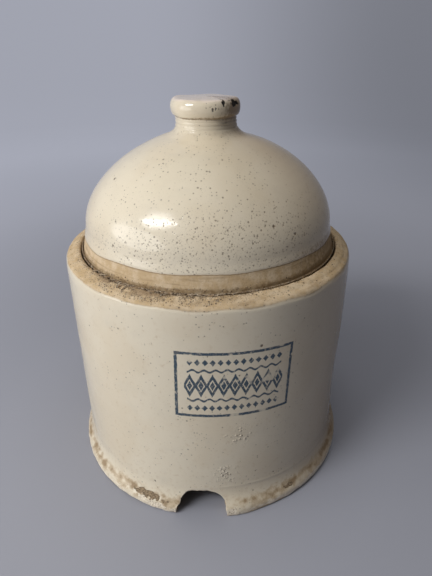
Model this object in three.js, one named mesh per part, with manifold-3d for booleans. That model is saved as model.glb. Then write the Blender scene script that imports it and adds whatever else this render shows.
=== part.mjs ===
// Ceramic crock fermenter: a stoneware crock on a hollow notched foot, a domed lid
// that stands in the water gutter of the rim, and two half-moon weight stones.
// Millimetres, +Z up, front at -Y. The foot stands on z = 0 and the axis is x = y = 0.
import * as THREE from 'three';
import { mergeVertices } from 'three/addons/utils/BufferGeometryUtils.js';
import Module from 'manifold-3d';

const SEGMENTS = 64; // facets round every turned piece

// Crock, outside
const FOOT_R = 101.9; // flared foot
const WALL_LOW_R = 96.6; // narrowest just above the foot
const WALL_MID_R = 96.2;
const WALL_TOP_R = 96.0;
const RIM_CORNER_R = 94.7; // worn outer corner of the rim
const RIM_CORNER_Z = 157.1;

// Hollow foot and its notch
const FOOT_INNER_R = 89.5;
const FLOOR_UNDER_Z = 28.0;
const FLOOR_TOP_Z = 38.0;
const NOTCH_LEFT = -23.0; // at the table, a little left of the front
const NOTCH_RIGHT = 12.0;
const NOTCH_H = 18.8; // at the crown, which lies left of the middle
const NOTCH_CUT_DEPTH = 50.0; // reaches from outside the foot well into its hollow

// Chamber and water gutter
const CHAMBER_R = 87.0;
const MOUTH_R = 70.5;
const COLLAR_OUTER_R = 76.2;
const COLLAR_TOP_Z = 164.0; // higher than the ledge, so the gutter overflows outwards
const GUTTER_FLOOR_Z = 140.0;
const GUTTER_OUTER_R = 86.2;
const LEDGE_TOP_Z = 159.8;

// Lid
const GAP = 0.4; // pieces that rest on each other are drawn this far apart
const SKIRT_R = 84.4;
const SKIRT_INNER_R = 78.2;
const SKIRT_BOTTOM_Z = GUTTER_FLOOR_Z + GAP;
const SKIRT_FLARE_Z = 160.5; // the dome draws in above this height
const DOME_Z = 175.2; // height at which the dome's curve starts
const DOME_R = 80.7;
const DOME_RISE = 55.8;
const DOME_POWER = 1.84; // superellipse exponent of the dome's section
const LID_WALL = 7.6;
const DOME_STEPS = 14;
const NECK_R = 18.8;
const NECK_Z = 232.8;
const KNOB_R = 21.3;
const KNOB_UNDER_Z = 239.2;
const KNOB_TOP_Z = 250.0;

// Weight stones
const STONE_R = 64.0;
const STONE_THICK = 14.0;
const STONE_SPLIT = 2.0; // clearance between the two halves
const STONE_EDGE = 2.5; // rounding of the stones' edges
const FINGER_HOLE_R = 11.0;
const STONE_Z = FLOOR_TOP_Z + GAP;

const wasm = await Module();
wasm.setup();

const group = new THREE.Group();
group.name = 'ceramic_crock_fermenter';

// Solid of a three.js geometry, for cutting
function toManifold(geometry) {
  const bare = geometry.clone();
  bare.deleteAttribute('normal');
  bare.deleteAttribute('uv');
  const welded = mergeVertices(bare, 1e-4);
  return new wasm.Manifold(new wasm.Mesh({
    numProp: 3,
    vertProperties: new Float32Array(welded.attributes.position.array),
    triVerts: new Uint32Array(welded.index.array),
  }));
}

function toGeometry(solid) {
  const mesh = solid.getMesh();
  const geometry = new THREE.BufferGeometry();
  geometry.setAttribute('position', new THREE.BufferAttribute(mesh.vertProperties, 3));
  geometry.setIndex(new THREE.BufferAttribute(mesh.triVerts, 1));
  geometry.computeVertexNormals();
  return geometry;
}

// Body turned about +Z from [radius, height] points, listed from the underside
// on the axis, up the outside, and back to the axis
function turned(points, segments = SEGMENTS) {
  const profile = points.map(([r, z]) => new THREE.Vector2(r, z));
  const geometry = new THREE.LatheGeometry(profile, segments);
  geometry.rotateX(Math.PI / 2);
  return geometry;
}

function addPiece(name, geometry, color, roughness) {
  const material = new THREE.MeshStandardMaterial({ color, roughness, metalness: 0 });
  const mesh = new THREE.Mesh(geometry, material);
  mesh.name = name;
  group.add(mesh);
}

// Quarter of a superellipse from the foot of a dome up to the radius topR
function domeSection(radius, rise, topR) {
  const points = [];
  const heightAt = (r) => rise * (1 - (r / radius) ** DOME_POWER) ** (1 / DOME_POWER);
  const topAngle = Math.acos((topR / radius) ** (DOME_POWER / 2));
  for (let i = 0; i <= DOME_STEPS; i++) {
    const angle = (topAngle * i) / DOME_STEPS;
    const r = radius * Math.cos(angle) ** (2 / DOME_POWER);
    points.push([r, DOME_Z + heightAt(Math.min(r, radius))]);
  }
  return points;
}

// Crock: hollow foot, raised floor, chamber, inner collar, gutter and ledge
const crockProfile = [
  // hollow foot, seen from below
  [0, FLOOR_UNDER_Z],
  [FOOT_INNER_R - 7, FLOOR_UNDER_Z],
  [FOOT_INNER_R - 2, FLOOR_UNDER_Z - 3],
  [FOOT_INNER_R, FLOOR_UNDER_Z - 9],
  [FOOT_INNER_R + 1, 2],
  [FOOT_INNER_R + 2, 0],
  // flared foot and wall
  [FOOT_R - 1.4, 0],
  [FOOT_R, 1.6],
  [FOOT_R - 0.2, 5],
  [FOOT_R - 2, 9.5],
  [WALL_LOW_R + 1.2, 14],
  [WALL_LOW_R, 20],
  [WALL_MID_R, 75],
  [WALL_TOP_R - 0.2, 128],
  [WALL_TOP_R, 150],
  [WALL_TOP_R - 0.2, 154],
  // rounded rim corner and sloping ledge
  [RIM_CORNER_R + 0.7, RIM_CORNER_Z - 1],
  [RIM_CORNER_R, RIM_CORNER_Z],
  [GUTTER_OUTER_R + 3.2, LEDGE_TOP_Z - 0.6],
  [GUTTER_OUTER_R + 1, LEDGE_TOP_Z],
  [GUTTER_OUTER_R, LEDGE_TOP_Z - 0.8],
  // water gutter
  [GUTTER_OUTER_R, GUTTER_FLOOR_Z + 1.5],
  [GUTTER_OUTER_R - 1.5, GUTTER_FLOOR_Z],
  [COLLAR_OUTER_R + 1.5, GUTTER_FLOOR_Z],
  [COLLAR_OUTER_R, GUTTER_FLOOR_Z + 1.5],
  // inner collar
  [COLLAR_OUTER_R, COLLAR_TOP_Z - 2],
  [COLLAR_OUTER_R - 1.6, COLLAR_TOP_Z],
  [MOUTH_R + 1.6, COLLAR_TOP_Z],
  [MOUTH_R, COLLAR_TOP_Z - 2],
  [MOUTH_R, GUTTER_FLOOR_Z - 3],
  // shoulder of the chamber, below the gutter
  [MOUTH_R + 4.5, GUTTER_FLOOR_Z - 9],
  [CHAMBER_R - 4.5, GUTTER_FLOOR_Z - 14],
  [CHAMBER_R, GUTTER_FLOOR_Z - 22],
  [CHAMBER_R, FLOOR_TOP_Z + 14],
  [CHAMBER_R - 3.5, FLOOR_TOP_Z + 4],
  [CHAMBER_R - 11, FLOOR_TOP_Z],
  [0, FLOOR_TOP_Z],
];

// Arched cutter for the notch: a round left shoulder and a lower, sloping right one
const arch = new THREE.Shape();
arch.moveTo(NOTCH_LEFT - 1, -5);
arch.lineTo(NOTCH_LEFT + 4, NOTCH_H - 6.5);
arch.quadraticCurveTo(NOTCH_LEFT + 6.5, NOTCH_H - 0.4, NOTCH_LEFT + 13, NOTCH_H - 0.2);
arch.lineTo(NOTCH_LEFT + 21, NOTCH_H);
arch.quadraticCurveTo(NOTCH_RIGHT - 7.5, NOTCH_H - 1.2, NOTCH_RIGHT - 4.5, NOTCH_H - 4.2);
arch.quadraticCurveTo(NOTCH_RIGHT - 2, NOTCH_H - 7, NOTCH_RIGHT - 1.8, NOTCH_H - 13);
arch.lineTo(NOTCH_RIGHT + 0.4, -5);
arch.closePath();
const archGeometry = new THREE.ExtrudeGeometry(arch, {
  depth: NOTCH_CUT_DEPTH,
  bevelEnabled: false,
  curveSegments: 6,
});
archGeometry.rotateX(Math.PI / 2);
archGeometry.translate(0, -(FOOT_R - NOTCH_CUT_DEPTH + 20), 0);

const crock = toManifold(turned(crockProfile)).subtract(toManifold(archGeometry));
addPiece('crock', toGeometry(crock), 0xd8cdb6, 0.35);

// Lid: skirt, dome, neck and collared knob in one piece
const lidProfile = [
  [0, DOME_Z + DOME_RISE - LID_WALL],
  ...domeSection(DOME_R - LID_WALL, DOME_RISE - LID_WALL, NECK_R).reverse(),
  [SKIRT_INNER_R - 0.6, COLLAR_TOP_Z + 1],
  [SKIRT_INNER_R, COLLAR_TOP_Z - 8],
  [SKIRT_INNER_R, SKIRT_BOTTOM_Z + 1],
  [SKIRT_INNER_R + 1, SKIRT_BOTTOM_Z],
  [SKIRT_R - 1, SKIRT_BOTTOM_Z],
  [SKIRT_R, SKIRT_BOTTOM_Z + 1],
  [SKIRT_R, SKIRT_FLARE_Z],
  [(SKIRT_R + DOME_R) / 2 - 0.2, (SKIRT_FLARE_Z + DOME_Z) / 2],
  ...domeSection(DOME_R, DOME_RISE, NECK_R + 6),
  // neck, collar and slightly domed top of the knob
  [NECK_R + 2.6, NECK_Z - 3.2],
  [NECK_R + 0.8, NECK_Z - 1.6],
  [NECK_R, NECK_Z],
  [NECK_R - 0.1, KNOB_UNDER_Z - 0.8],
  [NECK_R + 0.8, KNOB_UNDER_Z],
  [KNOB_R - 0.8, KNOB_UNDER_Z + 1.0],
  [KNOB_R, KNOB_UNDER_Z + 3],
  [KNOB_R, KNOB_TOP_Z - 4.2],
  [KNOB_R - 0.8, KNOB_TOP_Z - 2.2],
  [KNOB_R - 2.8, KNOB_TOP_Z - 0.8],
  [KNOB_R * 0.5, KNOB_TOP_Z - 0.2],
  [0, KNOB_TOP_Z],
];
addPiece('lid', turned(lidProfile), 0xd6cbb4, 0.32);

// Weight stones: halves of a round-edged disc with a finger hole on the split
const stoneTop = STONE_Z + STONE_THICK;
const discProfile = [
  [FINGER_HOLE_R, STONE_Z],
  [STONE_R - STONE_EDGE, STONE_Z],
  [STONE_R, STONE_Z + STONE_EDGE],
  [STONE_R, stoneTop - STONE_EDGE],
  [STONE_R - STONE_EDGE, stoneTop],
  [FINGER_HOLE_R + STONE_EDGE, stoneTop],
  [FINGER_HOLE_R, stoneTop - STONE_EDGE],
  [FINGER_HOLE_R, STONE_Z],
];
const disc = toManifold(turned(discProfile));
for (const [name, side] of [['weight_left', -1], ['weight_right', 1]]) {
  const half = new THREE.BoxGeometry(STONE_R * 2, STONE_R * 3, STONE_THICK * 3);
  half.translate(side * (STONE_R + STONE_SPLIT / 2), 0, STONE_Z);
  addPiece(name, toGeometry(disc.intersect(toManifold(half))), 0xb9a386, 0.8);
}

export default group;
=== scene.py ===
"""Looks of the ceramic crock fermenter: a glazed stoneware crock and domed lid with bare
clay edges, foot chips, a stamped ornament panel, ledge crumbs and two weight stones."""
import math

import bmesh
import bpy
import numpy as np
from mathutils import Matrix, Quaternion, Vector


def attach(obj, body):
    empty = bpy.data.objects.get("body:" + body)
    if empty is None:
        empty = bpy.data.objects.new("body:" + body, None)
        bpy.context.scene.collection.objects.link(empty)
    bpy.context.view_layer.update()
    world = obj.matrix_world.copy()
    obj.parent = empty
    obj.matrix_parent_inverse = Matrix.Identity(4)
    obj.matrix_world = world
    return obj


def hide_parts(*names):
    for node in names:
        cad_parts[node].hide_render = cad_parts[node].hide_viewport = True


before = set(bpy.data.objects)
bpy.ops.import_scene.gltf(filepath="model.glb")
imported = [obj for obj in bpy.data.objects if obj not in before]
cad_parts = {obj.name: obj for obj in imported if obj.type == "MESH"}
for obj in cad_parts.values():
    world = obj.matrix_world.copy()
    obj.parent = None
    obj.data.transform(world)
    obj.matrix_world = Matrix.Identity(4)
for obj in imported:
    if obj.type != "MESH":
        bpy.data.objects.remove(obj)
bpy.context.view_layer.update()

MM = 0.001
RANDOM_SEED = 41

# Radii and heights of the turned pieces, in millimetres
FOOT_R = 101.9
WALL_LOW_R = 96.6
WALL_MID_R = 96.2
WALL_TOP_R = 96.0
RIM_CORNER_R, RIM_CORNER_Z = 94.7, 157.1
FOOT_INNER_R = 89.5
FLOOR_UNDER_Z, FLOOR_TOP_Z = 28.0, 38.0
CHAMBER_R, MOUTH_R = 87.0, 70.5
COLLAR_OUTER_R, COLLAR_TOP_Z = 76.2, 164.0
GUTTER_FLOOR_Z, GUTTER_OUTER_R, LEDGE_TOP_Z = 140.0, 86.2, 159.8
SKIRT_R, SKIRT_INNER_R, SKIRT_BOTTOM_Z, SKIRT_FLARE_Z = 84.4, 78.2, 140.4, 160.5
DOME_Z, DOME_R, DOME_RISE, DOME_POWER, LID_WALL = 175.2, 80.7, 55.8, 1.84, 7.6
NECK_R, NECK_Z, KNOB_R, KNOB_UNDER_Z, KNOB_TOP_Z = 18.8, 232.8, 21.3, 239.2, 250.0
NOTCH_LEFT, NOTCH_RIGHT, NOTCH_H = -23.0, 12.0, 18.8

# Where the glaze stops, and how thick it is
RIM_GLAZE_Z, FOOT_GLAZE_Z, GLAZE_THICKNESS = 155.2, 1.6, 0.35
LID_GLAZE_Z, LID_INSIDE_GLAZE_Z, LID_GLAZE_THICKNESS = 169.4, 162.2, 0.42
GLAZED, BARE = 5.0, -5.0  # glaze mark of places far from any edge of the glaze

# How finely the pieces are turned
CROCK_STEPS, LID_STEPS = 520, 512
CORNER_SHARE, CORNER_STEPS, FINE_STEP = 0.48, 9, 0.1


# ---- fields and meshes

def smooth(low, high, value):
    """0 below low, 1 above high, with a soft S between (low may be the larger)."""
    t = np.clip((np.asarray(value) - low) / (high - low), 0.0, 1.0)
    return t * t * (3.0 - 2.0 * t)


def waves(theta, along, wavelength, seed, radius=90.0, count=48):
    """Random smooth field round a turned piece, about -2 to 2; sizes in millimetres."""
    rng = np.random.default_rng(RANDOM_SEED * 1000 + seed)
    total = np.zeros(np.broadcast(theta, along).shape)
    for _ in range(count):
        k = 2.0 * math.pi / wavelength * rng.uniform(0.6, 1.4)
        lean = rng.uniform(0.0, math.pi)
        turns = round(k * math.cos(lean) * radius)
        phase = rng.uniform(0.0, 2.0 * math.pi)
        total += np.cos(turns * theta + k * math.sin(lean) * along + phase)
    return total * math.sqrt(2.0 / count)


def degrees_off(theta, center):
    """Signed angle from center, in degrees, for theta in radians."""
    return (np.degrees(theta) - center + 180.0) % 360.0 - 180.0


def bell(value, center, width):
    """1 at center, falling away to both sides over about width."""
    return np.exp(-((value - center) / width) ** 2)


def toward(theta, center, width):
    """1 at the angle center, falling away to both sides over about width degrees."""
    return bell(degrees_off(theta, center), 0.0, width)


def curve_points(start, control, end, steps=8):
    start, control, end = (np.array(p, float) for p in (start, control, end))
    return [tuple((1 - t) ** 2 * start + 2 * t * (1 - t) * control + t * t * end)
            for t in np.linspace(0.0, 1.0, steps)]


def rounded(points):
    """Polyline through [r, z] or [r, z, corner] points, with curved corners."""
    line = [points[0][:2]]
    for before, here, after in zip(points, points[1:], points[2:]):
        corner = here[2] if len(here) > 2 else 0.0
        mid = np.array(here[:2], float)
        if corner <= 0.0:
            line.append(tuple(mid))
            continue
        back, ahead = np.array(before[:2]) - mid, np.array(after[:2]) - mid
        start, end = (mid + leg * (min(corner, CORNER_SHARE * np.hypot(*leg)) / np.hypot(*leg))
                      for leg in (back, ahead))
        line += curve_points(start, mid, end, CORNER_STEPS)
    line.append(points[-1][:2])
    return np.array(line, float)


def resampled(line, spacing_at):
    """The polyline cut into steps of about spacing_at(r, z) millimetres."""
    fine = [line[0]]
    for a, b in zip(line, line[1:]):
        steps = max(1, int(np.hypot(*(b - a)) / FINE_STEP))
        fine.extend(a + (b - a) * (i + 1) / steps for i in range(steps))
    fine = np.array(fine)
    length = np.hypot(*np.diff(fine, axis=0).T)
    middle = (fine[1:] + fine[:-1]) / 2.0
    spacing = np.array([spacing_at(r, z) for r, z in middle])
    progress = np.concatenate([[0.0], np.cumsum(length / spacing)])
    marks = np.linspace(0.0, progress[-1], int(round(progress[-1])) + 1)
    return np.stack([np.interp(marks, progress, fine[:, k]) for k in (0, 1)], axis=1)


def dome_line(radius, rise, top_radius, steps=70):
    """Section of the dome from its foot up to top_radius."""
    top = math.acos((top_radius / radius) ** (DOME_POWER / 2.0))
    angle = np.linspace(0.0, top, steps)
    r = radius * np.cos(angle) ** (2.0 / DOME_POWER)
    z = DOME_Z + rise * (1.0 - (r / radius) ** DOME_POWER) ** (1.0 / DOME_POWER)
    return [tuple(p) for p in np.stack([r, z], axis=1)]


def angles(count):
    return np.arange(count) * 2.0 * math.pi / count


def turned(name, rings, segments, shape, material):
    """Closed body of rings round +Z. shape(theta, r, z, s) gives (outward push, sideways
    shift, {attribute: values}) in millimetres for arrays of points."""
    inner = rings[1:-1]
    tangent = np.gradient(rings, axis=0)[1:-1]
    tangent /= np.hypot(*tangent.T)[:, None]
    arc = np.concatenate([[0.0], np.cumsum(np.hypot(*np.diff(rings, axis=0).T))])[1:-1]
    grid_theta, grid_arc = np.meshgrid(angles(segments), arc)
    r = np.repeat(inner[:, :1], segments, axis=1)
    z = np.repeat(inner[:, 1:], segments, axis=1)
    push, shift, marks = shape(grid_theta, r, z, grid_arc)
    out_r = r + push * tangent[:, 1:]
    out_z = np.maximum(z - push * tangent[:, :1], 0.0)
    points = np.stack([out_r * np.sin(grid_theta) + shift,
                       -out_r * np.cos(grid_theta), out_z], axis=2).reshape(-1, 3)
    poles = np.array([[0.0, 0.0, rings[0][1]], [0.0, 0.0, rings[-1][1]]])
    poles[:, 0] += [shift[0].mean(), shift[-1].mean()]
    count = len(inner)
    index = np.arange(count * segments).reshape(count, segments)
    following = np.roll(index, -1, axis=1)
    quads = np.stack([index[:-1], following[:-1], following[1:], index[1:]], axis=2)
    low, high = count * segments, count * segments + 1
    faces = quads.reshape(-1, 4).tolist()
    faces += [[low, b, a] for a, b in zip(index[0], following[0])]
    faces += [[high, a, b] for a, b in zip(index[-1], following[-1])]
    piece = new_piece(name, (np.concatenate([points, poles]) * MM).tolist(), faces, material)
    for key, values in marks.items():
        flat = np.concatenate([values.reshape(-1), [values[0].mean(), values[-1].mean()]])
        layer = piece.data.attributes.new(key, "FLOAT", "POINT")
        layer.data.foreach_set("value", flat.astype(np.float32))
    piece.data.shade_smooth()
    return outward(piece)


def placed(thing):
    bpy.context.collection.objects.link(thing)
    return thing


def new_piece(name, points, faces, material):
    """A piece from points in metres."""
    mesh = bpy.data.meshes.new(name)
    mesh.from_pydata(points, [], faces)
    mesh.materials.append(material)
    return placed(bpy.data.objects.new(name, mesh))


def outward(piece):
    """The piece with all its faces turned outwards."""
    form = bmesh.new()
    form.from_mesh(piece.data)
    bmesh.ops.recalc_face_normals(form, faces=form.faces)
    form.to_mesh(piece.data)
    form.free()
    return piece


def apply_modifiers(piece):
    """Makes the piece's mesh what its modifiers give."""
    graph = bpy.context.evaluated_depsgraph_get()
    mesh = bpy.data.meshes.new_from_object(piece.evaluated_get(graph))
    piece.modifiers.clear()
    piece.data = mesh


# ---- shader building

class Shade:
    """Short calls that build one material's nodes."""

    def __init__(self, name):
        self.material = bpy.data.materials.new(name)
        self.material.use_nodes = True
        self.tree = self.material.node_tree
        self.tree.nodes.clear()
        self.place = self.add("ShaderNodeTexCoord").outputs["Object"]

    def add(self, kind, **settings):
        node = self.tree.nodes.new(kind)
        for key, value in settings.items():
            setattr(node, key, value)
        return node

    def put(self, socket, value):
        if isinstance(value, bpy.types.NodeSocket):
            self.tree.links.new(value, socket)
        elif socket.type == "RGBA" and len(value) == 3:
            socket.default_value = (*value, 1.0)
        else:
            socket.default_value = value

    def math(self, operation, *values):
        node = self.add("ShaderNodeMath", operation=operation)
        for socket, value in zip(node.inputs, values):
            self.put(socket, value)
        return node.outputs[0]

    def sum(self, *values):
        total = values[0]
        for value in values[1:]:
            total = self.math("ADD", total, value)
        return total

    def product(self, *values):
        total = values[0]
        for value in values[1:]:
            total = self.math("MULTIPLY", total, value)
        return total

    def less(self, value, amount):
        return self.math("SUBTRACT", value, amount)

    def larger(self, a, b):
        return self.math("MAXIMUM", a, b)

    def absolute(self, value):
        return self.math("ABSOLUTE", value)

    def step(self, value, low, high, start=0.0, end=1.0):
        """start below low, end above high, soft between."""
        node = self.add("ShaderNodeMapRange", interpolation_type="SMOOTHSTEP")
        for socket, item in zip(node.inputs, (value, low, high, start, end)):
            self.put(socket, item)
        return node.outputs[0]

    def pattern(self, kind, size, vector):
        node = self.add(kind)
        self.put(node.inputs["Vector"], vector or self.place)
        node.inputs["Scale"].default_value = 1.0 / (size * MM)
        return node

    def noise(self, size, detail=3.0, roughness=0.5, vector=None):
        """Noise with features of about size millimetres."""
        node = self.pattern("ShaderNodeTexNoise", size, vector)
        node.inputs["Detail"].default_value = detail
        node.inputs["Roughness"].default_value = roughness
        return node.outputs["Fac"]

    def cells(self, size):
        """Distance to the nearest of scattered points, and three random values there."""
        node = self.pattern("ShaderNodeTexVoronoi", size, None)
        parts = self.add("ShaderNodeSeparateColor")
        self.tree.links.new(node.outputs["Color"], parts.inputs[0])
        return node.outputs["Distance"], parts.outputs

    def stretched(self, x, y, z):
        node = self.add("ShaderNodeMapping")
        self.put(node.inputs["Vector"], self.place)
        node.inputs["Scale"].default_value = (x, y, z)
        return node.outputs[0]

    def mark(self, name):
        """A value that the mesh carries at each of its points."""
        return self.add("ShaderNodeAttribute", attribute_name=name).outputs["Fac"]

    def ragged(self, amount, size, detail, roughness=0.5):
        """Noise round zero, up to half of amount each way."""
        return self.math("MULTIPLY_ADD", self.noise(size, detail, roughness), amount,
                         -0.5 * amount)

    def frayed(self, name, amount, size, detail, roughness=0.5):
        """A mark with its edge made ragged."""
        return self.sum(self.mark(name), self.ragged(amount, size, detail, roughness))

    def mix(self, factor, a, b):
        node = self.add("ShaderNodeMix", data_type="RGBA")
        self.put(node.inputs[0], factor)
        self.put(node.inputs[6], a)
        self.put(node.inputs[7], b)
        return node.outputs[2]

    def blend(self, factor, a, b):
        node = self.add("ShaderNodeMix", data_type="FLOAT")
        self.put(node.inputs[0], factor)
        self.put(node.inputs[2], a)
        self.put(node.inputs[3], b)
        return node.outputs[0]

    def finish(self, color, roughness, height):
        """The material, given its colour, its roughness and its relief in millimetres."""
        bump = self.add("ShaderNodeBump")
        bump.inputs["Distance"].default_value = MM
        self.put(bump.inputs["Height"], height)
        shader = self.add("ShaderNodeBsdfPrincipled")
        shader.inputs["IOR"].default_value = GLASSY_IOR
        self.put(shader.inputs["Base Color"], color)
        self.put(shader.inputs["Roughness"], roughness)
        self.put(shader.inputs["Normal"], bump.outputs[0])
        output = self.add("ShaderNodeOutputMaterial")
        self.put(output.inputs["Surface"], shader.outputs[0])
        return self.material


GLASSY_IOR = 1.5
CREAM = (0.775, 0.700, 0.560)
CREAM_WARM = (0.710, 0.610, 0.455)
CREAM_GREY = (0.660, 0.600, 0.490)
PIT_BROWN = (0.075, 0.048, 0.028)
TAN = (0.525, 0.385, 0.225)
TAN_PALE = (0.650, 0.520, 0.360)
TAN_DARK = (0.310, 0.215, 0.125)
GRIT_DARK = (0.115, 0.083, 0.055)
GRIT_PALE = (0.480, 0.395, 0.295)
BODY_PALE = (0.840, 0.760, 0.630)
BODY_GREY = (0.350, 0.262, 0.165)
WORN_PINK = (0.860, 0.740, 0.660)
# painted shade: a brown that darkens the glaze on the crock's and lid's right side, where shade
# falls
CREAM_PAINTED_SHADE = (0.470, 0.355, 0.235)
STAIN_BROWN = (0.235, 0.145, 0.062)
SOOT = (0.020, 0.016, 0.013)
INK_BLUE = (0.024, 0.060, 0.100)

CLAY_ROUGHNESS, BROKEN_ROUGHNESS, SCAR_ROUGHNESS, CRUMB_ROUGHNESS = 0.88, 0.85, 0.9, 0.95
PIT_ROUGHNESS, STAIN_ROUGHNESS, STONE_ROUGHNESS = 0.7, 0.62, 0.8
PAINTED_SHADE_ON_CROCK, PAINTED_SHADE_ON_LID = 0.85, 0.65   # how far the painted shade, a brown tint of the glaze, goes on the right side
BLISTER_SIZE, BLISTER_HEIGHT = 2.6, 1.1
CUT_GRIT, STONE_GRIT = 0.25, 0.12


def glaze(shade, pits):
    """Cream slip glaze with iron specks and pinholes: colour, roughness, height."""
    warm = shade.step(shade.noise(45.0, 3.0), 0.42, 0.68, 0.0, 0.55)
    color = shade.mix(warm, CREAM, CREAM_WARM)
    grey = shade.step(shade.noise(14.0, 4.0, 0.6), 0.50, 0.78, 0.0, 0.35)
    color = shade.mix(grey, color, CREAM_GREY)
    height = shade.product(shade.noise(1.3, 2.0), 0.022)
    height = shade.sum(height, shade.product(shade.noise(9.0, 2.0), 0.08))
    # cell size, largest pit as a share of the cell, share of cells, darkness
    layers = ((1.4, 0.42, 1.0, 0.55), (2.2, 0.30, 0.70, 0.65), (6.0, 0.15, 0.30, 0.90))
    dark = shade.product(shade.step(shade.noise(0.8, 2.0), 0.55, 0.75), pits, 0.25)
    for size, biggest, share, depth in layers:
        distance, random = shade.cells(size)
        present = shade.math("LESS_THAN", random[0], shade.product(pits, share))
        radius = shade.math("MULTIPLY_ADD", random[1], biggest, 0.06)
        inside = shade.step(shade.math("DIVIDE", distance, radius), 0.50, 1.0, 1.0, 0.0)
        spot = shade.product(present, inside)
        dark = shade.larger(dark, shade.product(spot, depth))
        height = shade.sum(height, shade.product(spot, -0.045 * size))
    color = shade.mix(dark, color, PIT_BROWN)
    roughness = shade.step(shade.noise(20.0, 4.0, 0.6), 0.35, 0.75, 0.09, 0.24)
    return color, shade.blend(dark, roughness, PIT_ROUGHNESS), height


def clay(shade, grit):
    """Bare stoneware, with grit lying on it where the mark says: colour, roughness, height."""
    color = shade.mix(shade.step(shade.noise(7.0, 5.0, 0.65), 0.35, 0.68), TAN, TAN_PALE)
    lines = shade.noise(3.0, 3.0, vector=shade.stretched(0.12, 0.12, 1.6))
    color = shade.mix(shade.step(lines, 0.52, 0.72, 0.0, 0.55), color, TAN_DARK)
    fine = shade.noise(0.7, 2.0)
    color = shade.mix(shade.step(fine, 0.60, 0.75, 0.0, 0.5), color, TAN_DARK)
    height = shade.sum(shade.product(fine, 0.10), shade.product(shade.noise(2.2, 4.0), 0.25))
    height = shade.sum(height, shade.product(lines, 0.12))
    for size in (0.7, 1.2):
        distance, random = shade.cells(size)
        present = shade.math("LESS_THAN", random[0], grit)
        grain = shade.product(present, shade.step(distance, 0.30, 0.55, 1.0, 0.0))
        tone = shade.mix(shade.step(random[1], 0.30, 0.85), GRIT_DARK, GRIT_PALE)
        color = shade.mix(shade.product(grain, 0.85), color, tone)
        height = shade.sum(height, shade.product(grain, 0.14 * size))
    dusty = shade.step(shade.sum(grit, shade.product(shade.noise(5.0, 4.0), 0.8)), 0.9, 1.4)
    color = shade.mix(shade.product(dusty, 0.75), color, TAN_DARK)
    return color, CLAY_ROUGHNESS, height


def broken(shade):
    """Freshly or long broken body inside a chip: colour, roughness, height."""
    speckle = shade.step(shade.noise(1.1, 4.0, 0.65), 0.46, 0.66, 0.0, 0.75)
    color = shade.mix(speckle, BODY_PALE, TAN_DARK)
    height = shade.product(shade.noise(1.4, 4.0, 0.65), 0.22)
    return color, BROKEN_ROUGHNESS, height


def scarred(shade):
    """Old break where the grey-brown body shows and dirt has settled."""
    speckle = shade.step(shade.noise(1.0, 4.0, 0.65), 0.40, 0.66)
    color = shade.mix(speckle, BODY_GREY, GRIT_DARK)
    return color, SCAR_ROUGHNESS, shade.product(shade.noise(1.2, 4.0, 0.65), 0.20)


def mixed(shade, factor, first, second):
    """Two surfaces mixed, each its colour, roughness and height."""
    return (shade.mix(factor, first[0], second[0]),
            shade.blend(factor, first[1], second[1]),
            shade.blend(factor, first[2], second[2]))


# The stamped panel on the wall, in millimetres from its middle
PANEL_ARC, PANEL_Z = 15.9, 105.2        # its middle: along the wall from the front, and up
PANEL_HALF_W, PANEL_HALF_H = 34.4, 22.2
PANEL_TILT = math.radians(-1.2)
PANEL_LINE = 0.75                       # half width of its border
INK_SOFTNESS = 0.35
LOZENGE_PITCH, LOZENGE_HALF_W, LOZENGE_HALF_H = 6.6, 3.1, 6.4
LOZENGE_SCALE, LOZENGE_LINE = 2.8, 0.60
INNER_SHARE, INNER_LINE = 0.20, 0.68    # the filled lozenge within each
MIDDLE_ROW_HALF_W, SIDE_ROW_HALF_W = 29.7, 28.0
WAVE_LEVEL, WAVE_RISE, WAVE_LINE = 10.4, 0.8, 0.55
DOT_LEVEL, DOT_PITCH, DOT_HALF_W, DOT_HALF_H = 16.3, 4.4, 2.0, 2.5
DOT_SHARE, DOT_SCALE, DOT_LINE = 0.5, 1.6, 0.42


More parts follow.
